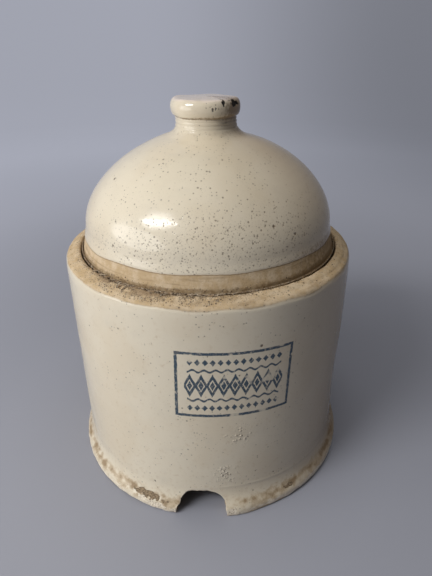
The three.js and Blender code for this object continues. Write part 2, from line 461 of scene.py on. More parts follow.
def ornament(shade):
    """1 where the stamp's ink lies: a border, a row of lozenges, waves and dots."""
    parts = shade.add("ShaderNodeSeparateXYZ")
    shade.put(parts.inputs[0], shade.place)
    x, y, z = parts.outputs
    ahead = shade.product(y, -1.0)
    arc = shade.less(shade.product(shade.math("ARCTAN2", x, ahead), WALL_MID_R), PANEL_ARC)
    rise = shade.math("MULTIPLY_ADD", z, 1.0 / MM, -PANEL_Z)
    cos, sin = math.cos(PANEL_TILT), math.sin(PANEL_TILT)
    across = shade.sum(shade.product(arc, cos), shade.product(rise, sin))
    up = shade.sum(shade.product(arc, -sin), shade.product(rise, cos))
    jitter = shade.ragged(0.7, 2.0, 2.0)

    def near(distance, half_width):
        edge = shade.sum(shade.absolute(distance), jitter)
        return shade.step(edge, half_width, half_width + INK_SOFTNESS, 1.0, 0.0)

    def repeated(pitch):
        """Distance across to the middle of the nearest of a row's figures."""
        turn = shade.math("MULTIPLY_ADD", across, 1.0 / pitch, 0.5)
        middle = shade.product(shade.less(shade.math("FRACT", turn), 0.5), pitch)
        return shade.absolute(middle)

    def inked(ink, figure, half_width):
        """The ink with one more row, cut off beyond half_width."""
        within = shade.math("LESS_THAN", shade.absolute(across), half_width)
        return shade.larger(ink, shade.product(figure, within))

    side = shade.less(shade.absolute(across), PANEL_HALF_W)
    top = shade.less(shade.absolute(up), PANEL_HALF_H)
    ink = near(shade.larger(side, top), PANEL_LINE)
    # a row of outlined lozenges with a filled one inside each
    wide = shade.math("DIVIDE", repeated(LOZENGE_PITCH), LOZENGE_HALF_W)
    lozenge = shade.sum(wide, shade.math("DIVIDE", shade.absolute(up), LOZENGE_HALF_H))
    outline = near(shade.product(shade.less(lozenge, 1.0), LOZENGE_SCALE), LOZENGE_LINE)
    inner = near(shade.product(shade.less(lozenge, INNER_SHARE), LOZENGE_SCALE), INNER_LINE)
    ink = inked(ink, shade.larger(outline, inner), MIDDLE_ROW_HALF_W)
    for sign in (-1.0, 1.0):
        # one waved line and one row of small filled lozenges on each side
        wave = shade.math("SINE", shade.product(across, 2 * math.pi / LOZENGE_PITCH))
        level = shade.less(shade.product(up, sign), WAVE_LEVEL)
        line = near(shade.less(level, shade.product(wave, WAVE_RISE)), WAVE_LINE)
        ink = inked(ink, line, SIDE_ROW_HALF_W)
        beside = shade.math("DIVIDE", repeated(DOT_PITCH), DOT_HALF_W)
        level = shade.absolute(shade.less(shade.product(up, sign), DOT_LEVEL))
        dot = shade.sum(beside, shade.math("DIVIDE", level, DOT_HALF_H))
        dot = shade.product(shade.less(dot, DOT_SHARE), DOT_SCALE)
        ink = inked(ink, near(shade.larger(dot, 0.0), DOT_LINE), SIDE_ROW_HALF_W)
    front = shade.step(ahead, 0.0, 0.02)
    worn = shade.step(shade.noise(1.5, 3.0, 0.7), 0.28, 0.48, 0.45, 0.97)
    missing = shade.step(shade.noise(11.0, 2.0), 0.35, 0.41, 0.12, 1.0)
    return shade.product(ink, front, worn, missing)


def crock_material():
    shade = Shade("crock_stoneware")
    color, roughness, height = glaze(shade, shade.mark("pits"))
    bubbles = shade.step(shade.cells(BLISTER_SIZE)[0], 0.15, 0.42, 1.0, 0.0)
    height = shade.sum(height, shade.product(bubbles, shade.mark("blister"), BLISTER_HEIGHT))
    # painted shade: the glaze turns brown towards the right side, where shade falls
    color = shade.mix(shade.product(shade.mark("painted_shade"), PAINTED_SHADE_ON_CROCK), color, CREAM_PAINTED_SHADE)
    color = shade.mix(ornament(shade), color, INK_BLUE)
    worn = shade.step(shade.frayed("wear", 0.8, 2.5, 3.0), 0.25, 0.75, 0.0, 0.75)
    color = shade.mix(worn, color, BODY_PALE)
    blotch = shade.frayed("stain", 1.5, 3.0, 5.0, 0.7)
    color = shade.mix(shade.product(shade.step(blotch, 0.05, 0.50), 0.50), color, TAN)
    stained = shade.step(blotch, 0.30, 0.90)
    color = shade.mix(shade.product(stained, 0.72), color, STAIN_BROWN)
    roughness = shade.blend(shade.larger(stained, worn), roughness, STAIN_ROUGHNESS)
    bare = shade.step(shade.frayed("glaze", 0.9, 2.0, 3.0), -0.75, 0.45, 1.0, 0.0)
    surface = mixed(shade, bare, (color, roughness, height), clay(shade, shade.mark("grit")))
    for name, look in (("chip", broken(shade)), ("scar", scarred(shade))):
        hurt = shade.step(shade.frayed(name, 0.8, 2.0, 4.0, 0.65), 0.0, 0.10)
        surface = mixed(shade, hurt, surface, look)
    return shade.finish(*surface)


def lid_material():
    shade = Shade("lid_stoneware")
    color, roughness, height = glaze(shade, shade.mark("pits"))
    # painted shade: the glaze turns brown towards the right side, where shade falls
    color = shade.mix(shade.product(shade.mark("painted_shade"), PAINTED_SHADE_ON_LID), color, CREAM_PAINTED_SHADE)
    edge = shade.frayed("glaze", 0.5, 2.5, 3.0)
    bare = shade.step(edge, -0.12, 0.12, 1.0, 0.0)
    color, roughness, height = mixed(shade, bare, (color, roughness, height),
                                     clay(shade, shade.mark("grit")))
    # a brown line runs just below the glaze
    line = shade.step(shade.absolute(shade.sum(edge, 0.25)), 0.12, 0.42, 0.75, 0.0)
    color = shade.mix(line, color, TAN_DARK)
    color = shade.mix(shade.mark("wear"), color, WORN_PINK)
    # on the lid the stain mark also carries painted shade on the right side
    blotch = shade.frayed("stain", 1.4, 2.2, 5.0, 0.7)
    color = shade.mix(shade.step(blotch, 0.20, 0.75, 0.0, 0.75), color, STAIN_BROWN)
    chip = shade.frayed("chip", 0.7, 1.5, 4.0, 0.65)
    inside = broken(shade)
    sooty = shade.mix(shade.mark("soot"), inside[0], SOOT)
    surface = mixed(shade, shade.step(chip, 0.0, 0.08), (color, roughness, height),
                    (sooty, *inside[1:]))
    return shade.finish(*surface)


def cut_material():
    """Torn faces of the notch: rough clay, browned by use."""
    shade = Shade("notch_clay")
    color, roughness, height = clay(shade, CUT_GRIT)
    dark = shade.step(shade.noise(6.0, 5.0, 0.6), 0.35, 0.65, 0.35, 0.85)
    return shade.finish(shade.mix(dark, color, STAIN_BROWN), roughness, height)


def stone_material():
    shade = Shade("weight_stoneware")
    color, _, height = clay(shade, STONE_GRIT)
    brine = shade.step(shade.noise(22.0, 4.0), 0.42, 0.62, 0.0, 0.5)
    return shade.finish(shade.mix(brine, color, CREAM_GREY), STONE_ROUGHNESS, height)


def crumb_material():
    shade = Shade("ledge_grit")
    distance, random = shade.cells(0.8)
    tone = shade.mix(shade.step(random[0], 0.30, 0.95), GRIT_DARK, GRIT_PALE)
    color = shade.mix(shade.step(shade.noise(2.4, 3.0, 0.6), 0.42, 0.70), tone, TAN_DARK)
    height = shade.sum(shade.product(shade.noise(0.5, 3.0), 0.14),
                       shade.product(shade.step(distance, 0.2, 0.6, 1.0, 0.0), 0.22))
    return shade.finish(color, CRUMB_ROUGHNESS, height)


# ---- the crock

def chips(theta, height, spots, seed, wavelength=5.0, radius=98.0):
    """Signed field, positive inside the chips, and how deep each is."""
    ragged = 0.20 * waves(theta, height, wavelength, seed, radius)
    ragged += 0.12 * waves(theta, height, wavelength * 0.45, seed + 50, radius)
    field = np.full(theta.shape, -1.0)
    depth = np.zeros(theta.shape)
    for angle, level, half_angle, half_height, deep in spots:
        away = np.hypot(degrees_off(theta, angle) / half_angle, (height - level) / half_height)
        inside = 1.0 - away + ragged
        field = np.maximum(field, np.clip(inside, -1.0, 1.0))
        depth = np.maximum(depth, deep * smooth(0.0, 0.55, inside))
    return field, depth


def random_spots(seed, count, level, spread, size, deep):
    """Spots for chips, scattered all round at about the same height."""
    rng = np.random.default_rng(RANDOM_SEED * 77 + seed)
    spots = []
    for _ in range(count):
        scale = rng.uniform(0.4, 1.0)
        spots.append((rng.uniform(0.0, 360.0), level + rng.normal() * spread,
                      size * scale / 1.7, size * scale * rng.uniform(0.5, 0.9), deep * scale))
    return spots


OUTER_FACE_R = 95.0   # the outer face of wall and foot lies beyond this
HOLLOW_R = 91.5       # the hollow foot, the gutter and most of the ledge lie within this
FOOT_TOP_Z = 24.0     # the foot's flare has run out here
THROWING_PITCH = 7.3
# the right side, where the glaze gets painted shade
PAINTED_SHADE_ANGLE, PAINTED_SHADE_WIDTH = 75.0, 38.0

# angle, height, half angle, half height, depth
FOOT_CHIPS = [
    (-20.5, 4.6, 4.2, 1.7, 0.5),
    (-26.5, 6.2, 2.4, 1.2, 0.4),
    (-12.5, 2.5, 3.0, 2.0, 0.3),
    (9.0, 3.0, 1.8, 3.2, 0.3),
    (150.0, 3.0, 7.0, 3.8, 1.1),
    (205.0, 2.0, 5.0, 2.6, 0.7),
]
FOOT_SCARS = [
    (-24.2, 9.2, 6.4, 2.5, 0.35),
    (33.0, 8.5, 2.2, 1.3, 0.25),
    (118.0, 9.0, 5.0, 2.0, 0.4),
]
RIM_CHIPS = [
    (120.0, 156.5, 4.0, 2.2, 0.7),
    (168.0, 156.8, 2.5, 1.3, 0.4),
    (215.0, 156.8, 3.4, 1.7, 0.5),
]
# brown soaking up from the foot: strength, angle, width
SOAKED = [
    (1.0, -66.0, 26.0),
    (0.8, -28.0, 14.0),
    (0.5, -15.0, 5.0),
    (0.6, 24.0, 15.0),
    (1.1, 68.0, 27.0),
    (0.7, 180.0, 60.0),
]


def crock_rings():
    line = rounded([
        (0, FLOOR_UNDER_Z), (FOOT_INNER_R - 7, FLOOR_UNDER_Z, 4), (FOOT_INNER_R - 2, 25, 3),
        (FOOT_INNER_R, 19, 4), (FOOT_INNER_R + 1, 2, 1), (FOOT_INNER_R + 2, 0, 1),
        (FOOT_R - 0.4, 0, 0.8), (FOOT_R + 0.3, 1.2, 0.8), (FOOT_R + 0.2, 5, 1.6),
        (FOOT_R - 1.4, 7.6, 1.6), (WALL_LOW_R + 1.5, 11.5, 3), (WALL_LOW_R, 18, 4),
        (WALL_MID_R, 75, 20), (WALL_TOP_R - 0.2, 128, 10), (WALL_TOP_R, 150, 3),
        (WALL_TOP_R - 0.2, 154, 2), (RIM_CORNER_R + 0.5, RIM_CORNER_Z - 0.3, 1.8),
        (GUTTER_OUTER_R + 3.2, LEDGE_TOP_Z - 0.4, 3), (GUTTER_OUTER_R + 0.4, LEDGE_TOP_Z, 0.9),
        (GUTTER_OUTER_R, LEDGE_TOP_Z - 1.2, 0.8), (GUTTER_OUTER_R, GUTTER_FLOOR_Z, 2.2),
        (COLLAR_OUTER_R, GUTTER_FLOOR_Z, 2.2), (COLLAR_OUTER_R, COLLAR_TOP_Z, 2.6),
        (MOUTH_R, COLLAR_TOP_Z, 2.6), (MOUTH_R, GUTTER_FLOOR_Z - 4, 4),
        (MOUTH_R + 6, GUTTER_FLOOR_Z - 10.5, 3), (CHAMBER_R - 3.5, GUTTER_FLOOR_Z - 15, 5),
        (CHAMBER_R, GUTTER_FLOOR_Z - 23, 5), (CHAMBER_R, FLOOR_TOP_Z + 12, 6),
        (CHAMBER_R - 3.5, FLOOR_TOP_Z + 4, 4), (CHAMBER_R - 11, FLOOR_TOP_Z, 6),
        (0, FLOOR_TOP_Z),
    ])

    def spacing(r, z):
        """Fine at the foot and the rim, where chips and grit are, and coarse out of sight."""
        outside = r > 93.5
        if r < 60.0:
            return 8.0
        if outside and z < FOOT_TOP_Z:
            return 0.9
        if z > 150.0 and r > 85.5:
            return 0.8
        if outside and z <= 30.0:
            return 1.6
        if outside:
            return 3.2
        if z < 4.0 or (z > 156.0 and r < 80.0):
            return 1.6
        return 4.6

    return resampled(line, spacing)


def crock_shape(theta, r, z, s):
    """The thrown, chipped and stained surface of the crock."""
    outer = r > OUTER_FACE_R
    outside = smooth(91.0, 93.5, r) * smooth(0.0, 1.0, z)
    resting = smooth(0.2, 3.0, z)
    # uneven wall, throwing marks, the ring above the foot and its spread by the notch
    front_left = toward(theta, -28.0, 36.0)
    push = 0.32 * waves(theta, s, 130.0, 1, count=30) * resting * outside
    uneven = 2 * math.pi * z / THROWING_PITCH + 1.4 * np.sin(theta) + 0.8 * np.sin(2 * theta)
    push += 0.05 * np.sin(uneven) * outside * smooth(20.0, 30.0, z)
    ring = z - (21.6 - 1.6 * np.sin(theta))
    seen = 0.12 + 0.88 * toward(theta, 22.0, 30.0)
    push += 0.30 * bell(ring, 0.0, 0.9) * seen * outside
    push += 1.1 * toward(theta, 11.0, 7.0) * smooth(16.0, 6.0, z) * outer

    # where the glaze lies
    rim_edge = RIM_GLAZE_Z + 0.25 * waves(theta, 0 * z, 26.0, 2, count=20)
    glazed = np.minimum(z - FOOT_GLAZE_Z + 0.8 * waves(theta, 0 * z, 12.0, 3), rim_edge - z)
    inner_wall = (r < CHAMBER_R + 0.5) & (z > FLOOR_TOP_Z - 1.0) & (z < COLLAR_TOP_Z - 5.0)
    chamber = inner_wall & ((r < MOUTH_R + 0.8) | (z < GUTTER_FLOOR_Z - 2.0))
    glazed = np.where(r > HOLLOW_R, glazed, np.where(chamber, GLAZED, BARE))
    push -= GLAZE_THICKNESS * smooth(0.8, -0.4, glazed) * smooth(91.0, 92.0, r)

    # dirt on the ledge and in the gutter
    on_ledge = smooth(156.6, 158.0, z) * smooth(85.8, 86.4, r) * (r < 97.0)
    lip = smooth(153.0, 156.0, z) * smooth(85.8, 86.4, r)
    groove = bell(r, GUTTER_OUTER_R, 3.4) * on_ledge
    patch = smooth(-0.6, 1.2, waves(theta, s, 22.0, 4, count=30))
    grit = groove * (0.20 + 0.80 * front_left) * (0.55 + 0.6 * patch)
    over_ledge = toward(theta, -24.0, 30.0)
    grit = grit + on_ledge * over_ledge * (0.18 + 0.34 * patch) + 0.05 * lip
    gutter = (r > COLLAR_OUTER_R - 0.5) & (r < GUTTER_OUTER_R + 0.5) & (z > 138.0) & (z < 158.5)
    grit = np.where(gutter, 0.45, grit)
    lumps = 0.05 * waves(theta, s, 3.4, 5, radius=88.0) + 0.09 * waves(theta, s, 11.0, 6)
    push += lumps * lip * (0.5 + 1.1 * np.clip(grit, 0, 1))

    # chips, scars and wear
    foot_band = smooth(FOOT_TOP_Z, 18.0, z) * outer * smooth(0.1, 0.8, z)
    near_foot = (z < FOOT_TOP_Z) & outer
    nicks = random_spots(1, 22, 1.0, 0.8, 3.0, 0.3)
    chip, chip_depth = chips(theta, z, FOOT_CHIPS + nicks, 7)
    # the first scar lies askew
    askew = z + 0.12 * degrees_off(theta, FOOT_SCARS[0][0])
    scar, scar_depth = chips(theta, askew, FOOT_SCARS[:1], 13)
    other_scar, other_depth = chips(theta, z, FOOT_SCARS[1:], 14)
    scar, scar_depth = np.maximum(scar, other_scar), np.maximum(scar_depth, other_depth)
    rim_chip, rim_depth = chips(theta, z, RIM_CHIPS, 8)
    rim_band = (z > 150.0) & (r > 92.5)
    chip = np.where(near_foot, chip, np.where(rim_band, rim_chip, -1.0))
    scar = np.where(near_foot, scar, -1.0)
    push = push - np.maximum(chip_depth, scar_depth) * foot_band - rim_depth * rim_band
    rough_foot = smooth(15.0, 4.0, z) * smooth(0.4, 1.5, z) * outer
    push += 0.06 * waves(theta, s, 5.0, 9) * rough_foot
    wear = smooth(6.6, 4.0, z) * (r > 99.5) * (0.75 + 0.25 * waves(theta, s, 20.0, 14))

    # stains, pits and blisters
    where = sum(much * toward(theta, angle, width) for much, angle, width in SOAKED)
    trough = bell(z, 9.5, 3.4)
    front_low = toward(theta, 4.0, 24.0) * bell(z, 6.0, 4.0)
    patchy = 0.62 + 0.22 * waves(theta, s, 16.0, 10) + 0.26 * waves(theta, s, 6.0, 15)
    stain = (0.95 * trough + 0.60 * front_low) * where * patchy * outer
    under = (r < HOLLOW_R) & (z < FLOOR_UNDER_Z + 1.0)
    stain = np.where(under, 0.25, stain) + 0.06 * smooth(60.0, 10.0, z) * outer

    pits = 0.10 + 0.05 * waves(theta, s, 40.0, 11) * (r > 93.0)
    blister = toward(theta, 6.3, 3.2) * bell(z, 33.1, 5.0)
    blister += 0.7 * toward(theta, 11.0, 4.0) * bell(z, 66.0, 5.0)
    squiggle = toward(theta, -6.5, 2.2) * bell(z, 80.2, 3.0)
    pits = np.clip(pits, 0.03, 1.0) + 0.9 * blister + 0.6 * squiggle
    return push, np.zeros_like(push), {
        "glaze": glazed, "grit": np.clip(grit, 0.0, 1.0), "chip": chip, "scar": scar,
        "wear": wear, "stain": stain, "pits": pits, "blister": blister,
        # painted shade, most on the right side
        "painted_shade": toward(theta, PAINTED_SHADE_ANGLE, PAINTED_SHADE_WIDTH)}


NOTCH_STEP = 1.1
NOTCH_CUT_FROM, NOTCH_CUT_TO = -110.0, -72.0   # in y, past both faces of the foot
NOTCH_OUTER_Y, NOTCH_INNER_Y = -100.0, -88.0
NOTCH_ROUGHNESS = 0.30


def notch_outline():
    """The arch in [x, z], from its left foot over the crown to its right foot."""
    outline = [(NOTCH_LEFT - 1.0, -5.0)]
    outline += curve_points((NOTCH_LEFT + 4, NOTCH_H - 6.5), (NOTCH_LEFT + 6.5, NOTCH_H - 0.4),
                            (NOTCH_LEFT + 13, NOTCH_H - 0.2))
    outline += curve_points((NOTCH_LEFT + 21, NOTCH_H), (NOTCH_RIGHT - 7.5, NOTCH_H - 1.2),
                            (NOTCH_RIGHT - 4.5, NOTCH_H - 4.2))
    outline += curve_points((NOTCH_RIGHT - 4.5, NOTCH_H - 4.2), (NOTCH_RIGHT - 2, NOTCH_H - 7),
                            (NOTCH_RIGHT - 1.8, NOTCH_H - 13))[1:]
    outline.append((NOTCH_RIGHT + 0.4, -5.0))
    return resampled(np.array(outline, float), lambda x, z: NOTCH_STEP)


def notch_cutter(material):
    """Prism through the front of the foot, with rough sides."""
    outline = notch_outline()
    inward = np.gradient(outline, axis=0)
    inward /= np.hypot(*inward.T)[:, None]
    rng = np.random.default_rng(RANDOM_SEED)
    layers = np.arange(NOTCH_CUT_FROM, NOTCH_CUT_TO, NOTCH_STEP)
    count = len(outline)
    rough = rng.normal(size=(len(layers), count))
    for _ in range(2):
        rough = (rough + np.roll(rough, 1, 0) + np.roll(rough, -1, 0)
                 + np.roll(rough, 1, 1) + np.roll(rough, -1, 1)) / 3.2
    # the mouth widens a little at the outer and inner faces of the wall, where it is chipped
    points = []
    for y, row in zip(layers, rough):
        flare = 0.9 * bell(y, NOTCH_OUTER_Y, 2.2) + 0.5 * bell(y, NOTCH_INNER_Y, 1.5)
        off = (NOTCH_ROUGHNESS * row + flare)[:, None]
        moved = outline + np.stack([-inward[:, 1], inward[:, 0]], axis=1) * off
        points += [(x, y, z) for x, z in moved]
    faces = []
    for i in range(len(layers) - 1):
        for j in range(count):
            a, b = i * count + j, i * count + (j + 1) % count
            faces.append((a, b, b + count, a + count))
    faces.append(tuple(range(count)))
    faces.append(tuple(reversed(range((len(layers) - 1) * count, len(layers) * count))))
    points = (np.array(points) * MM).tolist()
    return outward(new_piece("notch_cutter", points, faces, material))


def make_crock():
    piece = turned("crock_body", crock_rings(), CROCK_STEPS, crock_shape, crock_material())
    cutter = notch_cutter(cut_material())
    cut = piece.modifiers.new("notch", "BOOLEAN")
    cut.operation = "DIFFERENCE"
    cut.solver = "EXACT"
    cut.material_mode = "TRANSFER"
    cut.object = cutter
    apply_modifiers(piece)
    bpy.data.objects.remove(cutter)
    return piece


# ---- the lid

# angle, height, half angle, half height, depth
KNOB_CHIPS = [
    (60.0, 247.0, 12.0, 2.0, 0.8),
    (33.0, 247.6, 3.2, 1.8, 0.4),
    (12.5, 244.0, 2.0, 1.2, 0.2),
    (17.5, 244.5, 1.5, 0.9, 0.2),
    (-150.0, 247.8, 12.0, 1.4, 0.6),
]
KNOB_LEAN = -0.8
SPIRAL_PITCH, NECK_RIDGE_PITCH = 6.1, 2.1


def lid_rings():
    line = rounded(
        [(0, DOME_Z + DOME_RISE - LID_WALL)]
        + dome_line(DOME_R - LID_WALL, DOME_RISE - LID_WALL, NECK_R)[::-1]
        + [(SKIRT_INNER_R - 0.6, COLLAR_TOP_Z + 1, 4), (SKIRT_INNER_R, COLLAR_TOP_Z - 8, 4),
           (SKIRT_INNER_R, SKIRT_BOTTOM_Z, 2), (SKIRT_R, SKIRT_BOTTOM_Z, 2),
           (SKIRT_R, SKIRT_FLARE_Z, 4), (DOME_R + 1.7, 167.8, 4)]
        + dome_line(DOME_R, DOME_RISE, NECK_R + 6.0)
        + [(NECK_R + 2.0, NECK_Z - 3.0, 3.0), (NECK_R, NECK_Z, 2.0),
           (NECK_R - 0.1, KNOB_UNDER_Z - 0.5, 0.7), (KNOB_R - 0.9, KNOB_UNDER_Z + 0.5, 1.4),
           (KNOB_R, KNOB_UNDER_Z + 3.6, 2.4), (KNOB_R - 0.1, KNOB_TOP_Z - 4.0, 2.4),
           (KNOB_R - 1.8, KNOB_TOP_Z - 1.0, 2.0), (KNOB_R * 0.6, KNOB_TOP_Z - 0.6, 4.0),
           (0, KNOB_TOP_Z - 0.3)])

    def spacing(r, z):
        """Fine on knob, neck and band, coarse inside the dome."""
        if z > 229.0:
            return 0.6 if r > 8.0 else 1.6
        if 158.0 < z < 174.0 and r > 80.0:
            return 0.7
        if r < 12.0:
            return 4.0
        if z > 174.0 and r > dome_radius(z) - 2.0:
            return 1.9
        return 3.2

    return resampled(line, spacing)


def dome_radius(z):
    """Outer radius of the dome at a height."""
    lift = min(max((z - DOME_Z) / DOME_RISE, 0.0), 1.0)
    return DOME_R * (1.0 - lift ** DOME_POWER) ** (1.0 / DOME_POWER)


def lid_shape(theta, r, z, s):
    """The thrown, chipped and pitted surface of the lid."""
    radius_here = np.vectorize(dome_radius)(z)
    outside = (r > radius_here - 3.0) & (z > 159.0)
    skirt = smooth(174.0, 163.0, z)
    crown = smooth(244.0, 247.0, z) * smooth(20.0, 15.0, r)
    push = 0.28 * waves(theta, s, 110.0, 21, count=30) * outside * (1.0 - 0.7 * skirt)
    push = push * (1.0 - crown) * smooth(158.0, 162.0, z)
    spiral = np.sin(2 * math.pi * s / SPIRAL_PITCH + theta) * smooth(175.0, 185.0, z)
    push += 0.035 * spiral * outside * (1.0 - crown)
    neck = smooth(230.5, 232.5, z) * smooth(239.6, 238.6, z)
    push += 0.20 * np.sin(2 * math.pi * z / NECK_RIDGE_PITCH) * neck * outside

    # where the glaze lies, and dirt on the bare band
    edge = LID_GLAZE_Z + 0.20 * waves(theta, 0 * z, 45.0, 22, count=20)
    edge -= 1.0 * toward(theta, -68.0, 26.0)
    edge += 0.5 * np.sin(theta)
    within = (z > LID_INSIDE_GLAZE_Z) & (r < SKIRT_INNER_R + 0.2)
    inside_glaze = np.where(within, GLAZED, BARE)
    glazed = np.where(outside | (r > 80.0), z - edge, inside_glaze)
    push -= LID_GLAZE_THICKNESS * smooth(0.7, -0.3, glazed) * outside

    front_left = toward(theta, -35.0, 45.0)
    joint = smooth(163.5, 160.2, z) * (r > 80.0)
    grit = joint * (0.10 + 0.45 * front_left) * (0.6 + 0.35 * waves(theta, s, 14.0, 23))
    grit = np.where(z < 158.5, 0.35, grit)

    # the knob's chips, soot and wear
    chip, depth = chips(theta, z, KNOB_CHIPS, 25, wavelength=3.0, radius=KNOB_R)
    knob = smooth(239.4, 240.4, z) * (r > 14.0)
    chip = np.where(knob > 0.5, chip, -1.0)
    push -= depth * knob
    soot = smooth(8.0, 20.0, np.degrees(theta)) * smooth(140.0, 115.0, np.degrees(theta))
    soot = np.where(degrees_off(theta, 15.0) ** 2 < 49.0, 0.8, soot)
    wear = smooth(247.4, 249.0, z) * (0.75 + 0.15 * waves(theta, s, 9.0, 27, radius=KNOB_R))

    # stains and pits, and painted shade on the right side
    right_knob = toward(theta, 66.0, 42.0) * smooth(233.0, 240.0, z)
    below_chip = toward(theta, 60.0, 18.0) * bell(z, 243.5, 2.6)
    root = 0.25 * bell(z, 230.5, 2.2) * (r < 26.0)
    under_collar = 0.62 * bell(z, KNOB_UNDER_Z - 0.2, 0.8) * (r < 24.0)
    stain = 0.50 * right_knob + 0.5 * below_chip + root + under_collar + 0.45 * joint
    stain += 0.12 * smooth(185.0, 172.0, z)
    # painted shade: brown added to the stain mark on the right side, most on the bare band,
    # where shade falls
    shaded_side = toward(theta, 72.0, 34.0)
    stain += (0.10 + 0.42 * smooth(174.5, 173.0, z) * outside) * shaded_side

    toward_front = toward(theta, 8.0, 52.0)
    low_dome = smooth(206.0, 184.0, z) * smooth(170.0, 172.0, z)
    pits = 0.16 + 0.12 * toward_front - 0.10 * smooth(226.0, 236.0, z)
    pits = pits + 0.85 * toward_front * low_dome + 0.08 * low_dome + 0.60 * right_knob
    pits += 0.10 * waves(theta, s, 30.0, 26)
    pits = np.where(outside, np.clip(pits, 0.04, 1.1), 0.1)
    shift = KNOB_LEAN * smooth(224.0, 246.0, z) * outside
    return push, shift, {"glaze": glazed, "grit": np.clip(grit, 0.0, 1.0), "chip": chip,
                         "soot": soot, "wear": np.clip(wear, 0.0, 0.9), "stain": stain,
                         # painted shade, most on the right side
                         "pits": pits, "painted_shade": toward(theta, PAINTED_SHADE_ANGLE, PAINTED_SHADE_WIDTH)}


def make_lid():
    return turned("lid_body", lid_rings(), LID_STEPS, lid_shape, lid_material())


# ---- stones and crumbs

STONE_GRID, STONE_WEAR = 1.2, 3         # size of its grid, and how often it is smoothed
STONE_DENT, STONE_LOSS = 0.10, 0.15


def make_stone(side):
    """A half-moon weight stone with worn edges and slightly dented faces."""
    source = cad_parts["weight_" + side]
    piece = source.copy()
    piece.data = source.data.copy()
    piece.name = "weight_stone_" + side
    piece.data.name = piece.name
    piece.parent = None
    piece.matrix_world = Matrix.Identity(4)
    placed(piece)
    grid = piece.modifiers.new("grid", "REMESH")
    grid.mode = "VOXEL"
    grid.voxel_size = STONE_GRID * MM
    worn = piece.modifiers.new("worn", "SMOOTH")
    worn.iterations = STONE_WEAR
    apply_modifiers(piece)
    mesh = piece.data
    points = np.empty(len(mesh.vertices) * 3)
    mesh.vertices.foreach_get("co", points)
    points = points.reshape(-1, 3)
    normals = np.empty(len(mesh.vertices) * 3)
    mesh.vertices.foreach_get("normal", normals)
    angle = np.arctan2(points[:, 0], -points[:, 1])
    span = np.hypot(points[:, 0], points[:, 1]) / MM + points[:, 2] / MM
    dents = STONE_DENT * waves(angle, span, 9.0, 31, radius=45.0) - STONE_LOSS
    mesh.vertices.foreach_set(
        "co", (points + normals.reshape(-1, 3) * dents[:, None] * MM).reshape(-1))
    mesh.materials.clear()
    mesh.materials.append(stone_material())
    mesh.shade_smooth()
    return piece


DIRTIEST = -24.0        # angle
CRUMB_FORM = [(0, 0, 1), (0.9, 0, 0.1), (0.1, 0.8, 0), (-0.8, 0.1, 0.1), (0, -0.9, 0),
              (0, 0, -0.6)]
CRUMB_FACES = [(0, 1, 2), (0, 2, 3), (0, 3, 4), (0, 4, 1), (5, 2, 1), (5, 3, 2), (5, 4, 3),
               (5, 1, 4)]
CRUMB_COUNT = 8200
CRUMB_SIZES = (0.08, 0.22)
CRUMB_SPREAD, CRUMB_REACH = 3.2, 7.5    # outwards from the groove, usual and at most
CRUST_SEGMENTS, CRUST_AROUND = 900, 16
CRUST_INNER_R, CRUST_R = 84.65, 86.0    # the first keeps clear of the lid's skirt


def dirtiness(degrees):
    """How much dirt lies in the groove at an angle: most at the front left, least right."""
    most = bell(degrees, DIRTIEST, np.where(degrees < DIRTIEST, 30.0, 38.0))
    behind = 0.45 * bell(np.abs(degrees), 180.0, 45.0)
    return 0.05 + 0.95 * np.clip(most + behind, 0.0, 1.0)


def make_crust():
    """Dirt caked along the groove's outer lip."""
    grid_theta, grid_around = np.meshgrid(angles(CRUST_SEGMENTS), angles(CRUST_AROUND))
    thick = dirtiness(degrees_off(grid_theta, 0.0))
    thick = thick * (0.8 + 0.18 * waves(grid_theta, 0 * grid_around, 16.0, 41, radius=CRUST_R))
    ragged = waves(grid_theta, 0 * grid_around, 3.2, 44, radius=CRUST_R)
    thick = np.clip(thick, 0.0, 1.3)
    half_wide = 0.24 + (1.30 + 0.60 * ragged) * thick
    half_tall = 0.08 + 0.42 * thick
    rough = 1.0 + 0.16 * waves(grid_theta, 2.0 * grid_around, 1.4, 42, radius=CRUST_R)
    rough += 0.12 * waves(grid_theta, 2.0 * grid_around, 5.0, 43, radius=CRUST_R)
    inward = np.cos(grid_around)    # its inner side never passes CRUST_INNER_R
    bulge = np.where(inward < 0.0, rough, np.minimum(rough, 1.0))
    r = CRUST_INNER_R + half_wide * (1.0 - inward * bulge)
    z = LEDGE_TOP_Z - 0.1 + half_tall * np.sin(grid_around) * rough
    points = np.stack([r * np.sin(grid_theta), -r * np.cos(grid_theta), z], axis=2)
    index = np.arange(CRUST_AROUND * CRUST_SEGMENTS).reshape(CRUST_AROUND, CRUST_SEGMENTS)
    beside, above = np.roll(index, -1, axis=1), np.roll(index, -1, axis=0)
    faces = np.stack([index, beside, np.roll(above, -1, axis=1), above], axis=2)
    piece = new_piece("ledge_crust", (points.reshape(-1, 3) * MM).tolist(),
                      faces.reshape(-1, 4).tolist(), crumb_material())
    piece.data.shade_smooth()
    return outward(piece)


